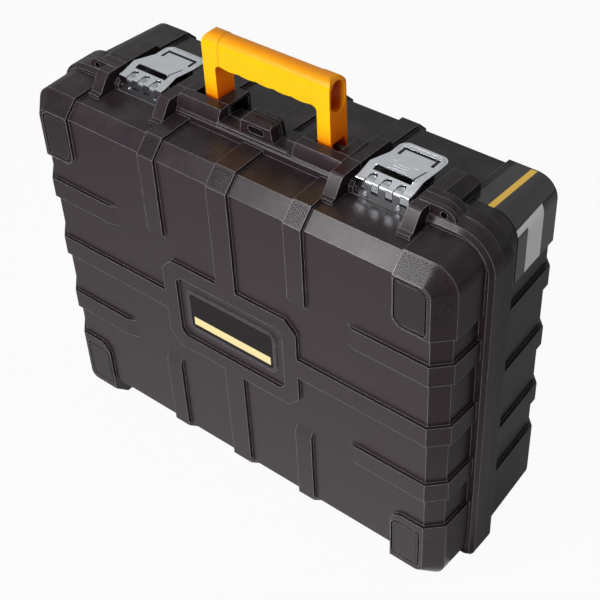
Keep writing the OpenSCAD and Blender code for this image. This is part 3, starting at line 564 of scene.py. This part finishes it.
def label_finish():
    """Blank dark film with a plain yellow band, and a plain pale panel with a dark field."""
    material, tree, shader = new_finish("label_film", Coat_Weight=0.5, Coat_Roughness=0.1)
    place = add(tree, "SeparateXYZ", None, Vector=add(tree, "TexCoord").outputs["Object"])
    band = calc(tree, "MULTIPLY", between(tree, place.outputs["X"], *BAND_X),
                calc(tree, "GREATER_THAN", place.outputs["Z"], BAND_ABOVE_Z))
    base = blend_colours(tree, band, FILM_BLACK, BAND_YELLOW)
    for (in_y, in_z), colour in ((PANEL, PANEL_PALE), (FIELD, FIELD_DARK)):
        inside = calc(tree, "MULTIPLY", between(tree, place.outputs["Y"], *in_y),
                      between(tree, place.outputs["Z"], *in_z))
        base = blend_colours(tree, inside, base, colour)
    skin = use_group(tree, grain, Cell_size=0.8 * MM)
    grained(tree, shader, skin, base, span=0.1, least=0.2, strength=0.06, depth=0.1 * MM)
    return material


label_film = label_finish()
print("the band is", round((BAND_X[1] - BAND_X[0]) / MM, 1), "mm wide")

# %% [markdown]
# ## Soft moulded edges
#
# No moulded or stamped part has a perfectly sharp edge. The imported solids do, so each visible
# one is copied, its triangles are joined again, and a Bevel modifier rounds every edge that
# turns by more than a given angle. A Weighted Normal modifier then keeps the wide faces flat, so
# that only the rounded edges shade from one face to the next. The copy stands for its node.
# Sculpting would be slower and less even, and a Bevel node alone wouldn't change the outline.

# %% Make modifiers part of a mesh
def applied(piece):
    """Makes the piece's modifiers part of its mesh, and gives that mesh."""
    evaluated = piece.evaluated_get(bpy.context.evaluated_depsgraph_get())
    mesh = bpy.data.meshes.new_from_object(evaluated)
    piece.modifiers.clear()
    piece.data = mesh
    return mesh


print("mesh helper:", applied.__name__)

# %% [markdown]
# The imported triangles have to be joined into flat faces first, or the bevel would also run along
# the hidden diagonals. Then the bevel and the weighted normals follow, each applied in turn.

# %% Soften the edges of a node
MERGE_WITHIN = 0.02 * MM
FLAT_ANGLE = math.radians(0.3)
EDGE_ANGLE = math.radians(28)
SHARP_ANGLE = math.radians(35)


def softened(node, body, finish, width, segments=2):
    """Stands a copy with rounded edges in for a node: merge, dissolve flat faces, then Bevel every
    edge that turns by more than EDGE_ANGLE, width wide."""
    mesh = bpy.data.meshes.new(node + "_soft")
    work = bmesh.new()
    work.from_mesh(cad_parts[node].data)
    bmesh.ops.remove_doubles(work, verts=work.verts, dist=MERGE_WITHIN)
    bmesh.ops.dissolve_limit(work, angle_limit=FLAT_ANGLE, verts=work.verts, edges=work.edges)
    bmesh.ops.dissolve_degenerate(work, dist=MERGE_WITHIN / 2, edges=work.edges)
    work.to_mesh(mesh)
    work.free()
    piece = bpy.data.objects.new(node + "_soft", mesh)
    bpy.context.collection.objects.link(piece)
    bevel = piece.modifiers.new("edges", "BEVEL")
    bevel.width = width
    bevel.segments = segments
    bevel.limit_method = "ANGLE"
    bevel.angle_limit = EDGE_ANGLE
    bevel.use_clamp_overlap = True
    bevel.loop_slide = True
    mesh.materials.append(finish)
    rounded = applied(piece)
    rounded.shade_smooth()
    rounded.set_sharp_from_angle(angle=SHARP_ANGLE)
    even = piece.modifiers.new("flat_faces", "WEIGHTED_NORMAL")
    even.keep_sharp = True
    finished = applied(piece)
    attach(piece, body)
    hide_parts(node)
    print(piece.name, "has", len(finished.polygons), "faces")


print("edges sharper than", round(math.degrees(SHARP_ANGLE)), "degrees stay sharp")

# %% [markdown]
# Plastic edges are rounder than sheet metal's, and the handle, which a hand closes round, is the
# roundest of all. The widths below are those radii.

# %% Soften every visible node
softened("lid_shell", "lid", lid_plastic, 0.5 * MM)
softened("base_shell", "base", shaded_base_plastic, 0.5 * MM)
for place in ("top_left", "top_right", "bottom_left", "bottom_right"):
    softened("corner_pad_" + place, "lid", pad_plastic, 0.5 * MM)
softened("badge_plate", "lid", badge_black, 0.4 * MM)
softened("handle", "handle", handle_yellow, 1.8 * MM, segments=4)
for side in ("left", "right"):
    softened("latch_lever_" + side, "lever_" + side, latch_steel, 0.3 * MM)
    softened("latch_leaf_" + side, "lid", shaded_leaf_steel, 0.25 * MM)
    softened("latch_rivets_" + side, "lid", latch_steel, 0.2 * MM)

# %% [markdown]
# ## Pressed beads on the levers
#
# A thin plate is stiffened by beads pressed into it. Each lever has a few short ones across its
# finger plate and a long one round its tail. A bead is a slim tube, half sunk in the sheet, whose
# radius shrinks to nothing at both ends, so it needs no caps and closes on itself.

# %% One bead
TAPER = 12


def bead(path, up, radius, height, around=10):
    """A flat tube: p(s, a) = path(s) + r(s) * (cos(a) * side(s) + height * sin(a) * up), where
    r(s) = radius * min(1, TAPER * s, TAPER * (1 - s)) for s from 0 to 1. Returns points and
    faces."""
    s = np.linspace(0, 1, len(path))
    run = np.gradient(path, axis=0)
    run /= np.linalg.norm(run, axis=1)[:, None]
    side = np.cross(run, up)
    side /= np.linalg.norm(side, axis=1)[:, None]
    size = radius * np.minimum(1, np.minimum(TAPER * s, TAPER * (1 - s)))[1:-1, None, None]
    a = np.linspace(0, 2 * np.pi, around, endpoint=False)
    ring = (np.cos(a)[None, :, None] * side[1:-1, None, :]
            + height * np.sin(a)[None, :, None] * up[None, None, :])
    body = (path[1:-1, None, :] + size * ring).reshape(-1, 3)
    rows = len(path) - 2
    points = np.vstack([body, path[:1], path[-1:]])
    i, j = np.meshgrid(np.arange(rows - 1), np.arange(around), indexing="ij")
    k = (j + 1) % around
    corners = [i * around + j, i * around + k, (i + 1) * around + k, (i + 1) * around + j]
    quads = np.stack(corners, -1).reshape(-1, 4)
    j = np.arange(around)
    k = (j + 1) % around
    end = (rows - 1) * around
    first = np.stack([np.full(around, rows * around), k, j], -1)
    last = np.stack([np.full(around, rows * around + 1), end + j, end + k], -1)
    return points, quads.tolist() + first.tolist() + last.tolist()


print("a bead tapers over 1 /", TAPER, "of its length")

# %% [markdown]
# The short beads run straight across the sloping finger plate. The long one follows the tail in
# a U, whose rounded corners are quarters of an ellipse.

# %% Paths of the beads
PLATE = ((-0.018, 0.3865), (0.004, 0.3815))
TAIL_Z = 0.3799
TAIL_LOOP = ((0.0208, 0.0095), (0.0208, 0.0198), (0.0150, 0.0258))
PLATE_STEPS = 26
RUN_STEPS = 12
BEND_STEPS = 14


def plate_line(middle_x, left, right, y):
    """A straight path across the finger plate, on its sloping top."""
    (front_y, front_z), (rear_y, rear_z) = PLATE
    z = front_z + (rear_z - front_z) * (y - front_y) / (rear_y - front_y)
    x = np.linspace(left, right, PLATE_STEPS)
    return np.stack([middle_x + x, np.full_like(x, y), np.full_like(x, z)], -1)


def tail_path(middle_x):
    """A U round the tail: a straight run, a quarter ellipse, the rear run, and the same back."""
    (out_x, start_y), (_, bend_y), (in_x, end_y) = TAIL_LOOP
    run_y = np.linspace(start_y, bend_y, RUN_STEPS, endpoint=False)
    a = np.linspace(0, np.pi / 2, BEND_STEPS)
    rear_x = np.linspace(in_x, 0, BEND_STEPS)[1:]
    half = np.vstack([
        np.stack([np.full_like(run_y, out_x), run_y], -1),
        np.stack([in_x + (out_x - in_x) * np.cos(a), bend_y + (end_y - bend_y) * np.sin(a)], -1),
        np.stack([rear_x, np.full_like(rear_x, end_y)], -1),
    ])
    whole = np.vstack([half, (half * (-1, 1))[-2::-1]])
    return np.column_stack([middle_x + whole[:, 0], whole[:, 1], np.full(len(whole), TAIL_Z)])


print("the finger plate is", round((PLATE[1][0] - PLATE[0][0]) / MM), "mm long")

# %% [markdown]
# Each lever gets six short beads, given by their two ends and their distance back in
# millimetres, and the long one. All seven become one mesh, which moves with the lever.

# %% Beads on both levers
LATCH_X = 0.13
SHORT_BEADS = ((-7.5, 7.5, -5.5), (-7.5, 7.5, -9.5), (-9.5, 9.5, -14.5),
               (-12, -8, -1.5), (-12, -8, 1.0), (8, 12, -1.5))
UP = np.array([0.0, 0.0, 1.0])
slope = np.array([0.0, PLATE[0][1] - PLATE[1][1], PLATE[1][0] - PLATE[0][0]])
slope /= np.linalg.norm(slope)
for side, middle_x in (("left", -LATCH_X), ("right", LATCH_X)):
    lines = [plate_line(middle_x, left * MM, right * MM, y * MM) for left, right, y in SHORT_BEADS]
    parts = [bead(line, slope, radius=0.4 * MM, height=0.4) for line in lines]
    parts.append(bead(tail_path(middle_x), UP, radius=0.6 * MM, height=0.45))
    starts = np.cumsum([0] + [len(points) for points, _ in parts[:-1]])
    mesh = bpy.data.meshes.new("lever_beads_" + side)
    faces = [
        [int(corner + start) for corner in face]
        for start, (_, part_faces) in zip(starts, parts) for face in part_faces
    ]
    mesh.from_pydata(np.vstack([points for points, _ in parts]).tolist(), [], faces)
    mesh.shade_smooth()
    mesh.materials.append(pin_steel)
    work = bmesh.new()
    work.from_mesh(mesh)
    bmesh.ops.recalc_face_normals(work, faces=work.faces)
    work.to_mesh(mesh)
    work.free()
    piece = bpy.data.objects.new("lever_beads_" + side, mesh)
    bpy.context.collection.objects.link(piece)
    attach(piece, "lever_" + side)
    print(piece.name, "has", len(mesh.polygons), "faces")

# %% [markdown]
# ## Pieces that keep their own mesh
#
# The pins are plain rods and the label is a thin film, so rounding their edges would add nothing.
# Their finish goes on the object's material slots, which leaves the mesh as it is. The handle's
# pins are blackened and the rest are bright.

# %% Finishes for the nodes that keep their own mesh
KEPT = {"corner_label": label_film}
for name in ("handle_pin_left", "handle_pin_right", "latch_pin_left", "latch_pin_right",
             "hinge_pin_left", "hinge_pin_middle", "hinge_pin_right"):
    KEPT[name] = black_steel if name.startswith("handle") else pin_steel
for name, finish in KEPT.items():
    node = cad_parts[name]
    if not node.data.materials:
        node.data.materials.append(None)
    for slot_place in node.material_slots:
        slot_place.link = "OBJECT"
        slot_place.material = finish
print(len(KEPT), "nodes keep their own mesh")

# %% [markdown]
# ## Floor, background and light
#
# A white floor shows the object's shadow, and it must not throw so much light back that black
# plastic turns grey. Its colour does the lighting, and mirror reflections see it mixed with plain
# white. The camera looks nearly through it at the white room, which leaves a faint shadow, and
# the lid stays in view when it swings down past the floor of a case that stands up.

# %% How white the set looks
def seen_white(tree, by_camera, by_reflection):
    """How white the set looks: by_camera straight from the camera, and by_reflection in shiny
    surfaces, for light that hasn't met a matt surface yet."""
    path = tree.nodes.new("ShaderNodeLightPath")
    glossy, clear = path.outputs["Is Glossy Ray"], path.outputs["Is Transmission Ray"]
    direct = calc(tree, "LESS_THAN", path.outputs["Diffuse Depth"], 0.5)
    shiny = calc(tree, "MULTIPLY", calc(tree, "MAXIMUM", glossy, clear), direct)
    return (calc(tree, "MULTIPLY", path.outputs["Is Camera Ray"], by_camera),
            calc(tree, "MULTIPLY", shiny, by_reflection))


print("helper:", seen_white.__name__)

# %% [markdown]
# The floor is one large sheet of paper. In reflections it shows a painted pool of light:
# brightest close in front of the case and fading with distance and to the right, as under a
# lamp, which paints a reflection with a slow gradient on the lid's big flat face: sheen = near *
# in_front * SHEEN[0] + SHEEN[1], where near falls from 1 to 0 over a metre, and in_front is
# clamp(x * FADE_RIGHT[0] + FADE_RIGHT[1]) before the case.

# %% Floor and its sheen
FLOOR_SIZE = 12.0
BRIGHT_X = 0.18
BRIGHT_Y = -0.12
FRONT_EDGE = -0.05
FADE_RIGHT = (-5.0, 2.2)
SHEEN = (0.94, 0.03)
bpy.ops.mesh.primitive_plane_add(size=FLOOR_SIZE)
floor = bpy.context.object
floor.name = "floor"
paper = bpy.data.materials.new("paper")
paper.use_nodes = True
tree = paper.node_tree
tree.nodes.clear()
spot = add(tree, "SeparateXYZ", None, Vector=add(tree, "TexCoord").outputs["Object"])
away_x = calc(tree, "POWER", calc(tree, "SUBTRACT", spot.outputs["X"], BRIGHT_X), 2.0)
away_y = calc(tree, "POWER", calc(tree, "SUBTRACT", spot.outputs["Y"], BRIGHT_Y), 2.0)
away = calc(tree, "ADD", away_x, away_y)
near_front = calc(tree, "SUBTRACT", 1.0, calc(tree, "SQRT", away), clamp=True)
in_front = calc(tree, "MULTIPLY", calc(tree, "LESS_THAN", spot.outputs["Y"], FRONT_EDGE),
                calc(tree, "MULTIPLY_ADD", spot.outputs["X"], *FADE_RIGHT, clamp=True))
# Painted pool of light on the floor, seen only in reflections.
sheen = calc(tree, "MULTIPLY_ADD", calc(tree, "MULTIPLY", near_front, in_front), *SHEEN)
print("the floor is", FLOOR_SIZE, "m across")

# %% [markdown]
# Now the paper itself. A matt shader does the lighting, reflections see it mixed with plain
# white by the sheen, and the camera sees mostly through both.

# %% Paper
PAPER_GREY = (0.42, 0.42, 0.42, 1)
SEEN_THROUGH = 0.95
WHITE = (1, 1, 1, 1)
matt = add(tree, "BsdfDiffuse", None, Color=PAPER_GREY)
white = add(tree, "Emission", None, Color=WHITE, Strength=1.0)
mixed = tree.nodes.new("ShaderNodeMixShader")
to_camera, to_gloss = seen_white(tree, SEEN_THROUGH, sheen)
feed(tree, mixed.inputs[0], to_gloss)
tree.links.new(matt.outputs[0], mixed.inputs[1])
tree.links.new(white.outputs[0], mixed.inputs[2])
clear = add(tree, "BsdfTransparent")
through = tree.nodes.new("ShaderNodeMixShader")
feed(tree, through.inputs[0], to_camera)
tree.links.new(mixed.outputs[0], through.inputs[1])
tree.links.new(clear.outputs[0], through.inputs[2])
tree.links.new(through.outputs[0], tree.nodes.new("ShaderNodeOutputMaterial").inputs["Surface"])
floor.data.materials.append(paper)
print(paper.name, "has", len(tree.nodes), "nodes")

# %% [markdown]
# The room is white to the camera, about half as bright in mirror reflections, and dim as a
# source of light, so that the lamps shape the object.

# %% World
ROOM_WHITE = 1.0
ROOM_IN_MIRRORS = 0.47
ROOM_LIGHT = 0.15
world = bpy.data.worlds.new("studio")
bpy.context.scene.world = world
world.use_nodes = True
tree = world.node_tree
background = tree.nodes["Background"]
background.inputs["Color"].default_value = WHITE
seen = calc(tree, "MAXIMUM", *seen_white(tree, ROOM_WHITE, ROOM_IN_MIRRORS))
feed(tree, background.inputs["Strength"], calc(tree, "MAXIMUM", seen, ROOM_LIGHT))
print("room light", ROOM_LIGHT)

# %% [markdown]
# ## Lamps
#
# Four square lamps, as softboxes in a studio. The key lamp stands high on the left, where the
# bevels mirror it to the camera, and is small so that they gleam. The wide front lamp lights the
# lid, the top one the handle side, and the back one the base. Front and back lamps stay out
# of mirror reflections, where they would show as squares.

# %% Lamps
def softbox(name, place, aim, size, power):
    """A square area lamp at place, turned towards aim."""
    lamp = bpy.data.lights.new(name, "AREA")
    lamp.size = size
    lamp.energy = power
    holder = bpy.data.objects.new(name, lamp)
    holder.location = place
    holder.rotation_euler = (Vector(aim) - Vector(place)).to_track_quat("-Z", "Y").to_euler()
    bpy.context.collection.objects.link(holder)
    return holder


softbox("key", place=(-0.33, -0.78, 1.02), aim=(0.1, -0.05, 0.36), size=0.26, power=4.2)
front = softbox("front", place=(0.13, -1.3, 0.4), aim=(0.1, 0.0, 0.15), size=0.7, power=16)
back = softbox("back", place=(1.0, 1.7, 0.8), aim=(0.0, 0.0, 0.2), size=0.8, power=10)
softbox("top", place=(0.0, 0.25, 1.7), aim=(0.0, 0.03, 0.38), size=0.9, power=4)
front.visible_glossy = False
back.visible_glossy = False
print("lamps:", [(lamp.name, round(lamp.energy, 1)) for lamp in bpy.data.lights])
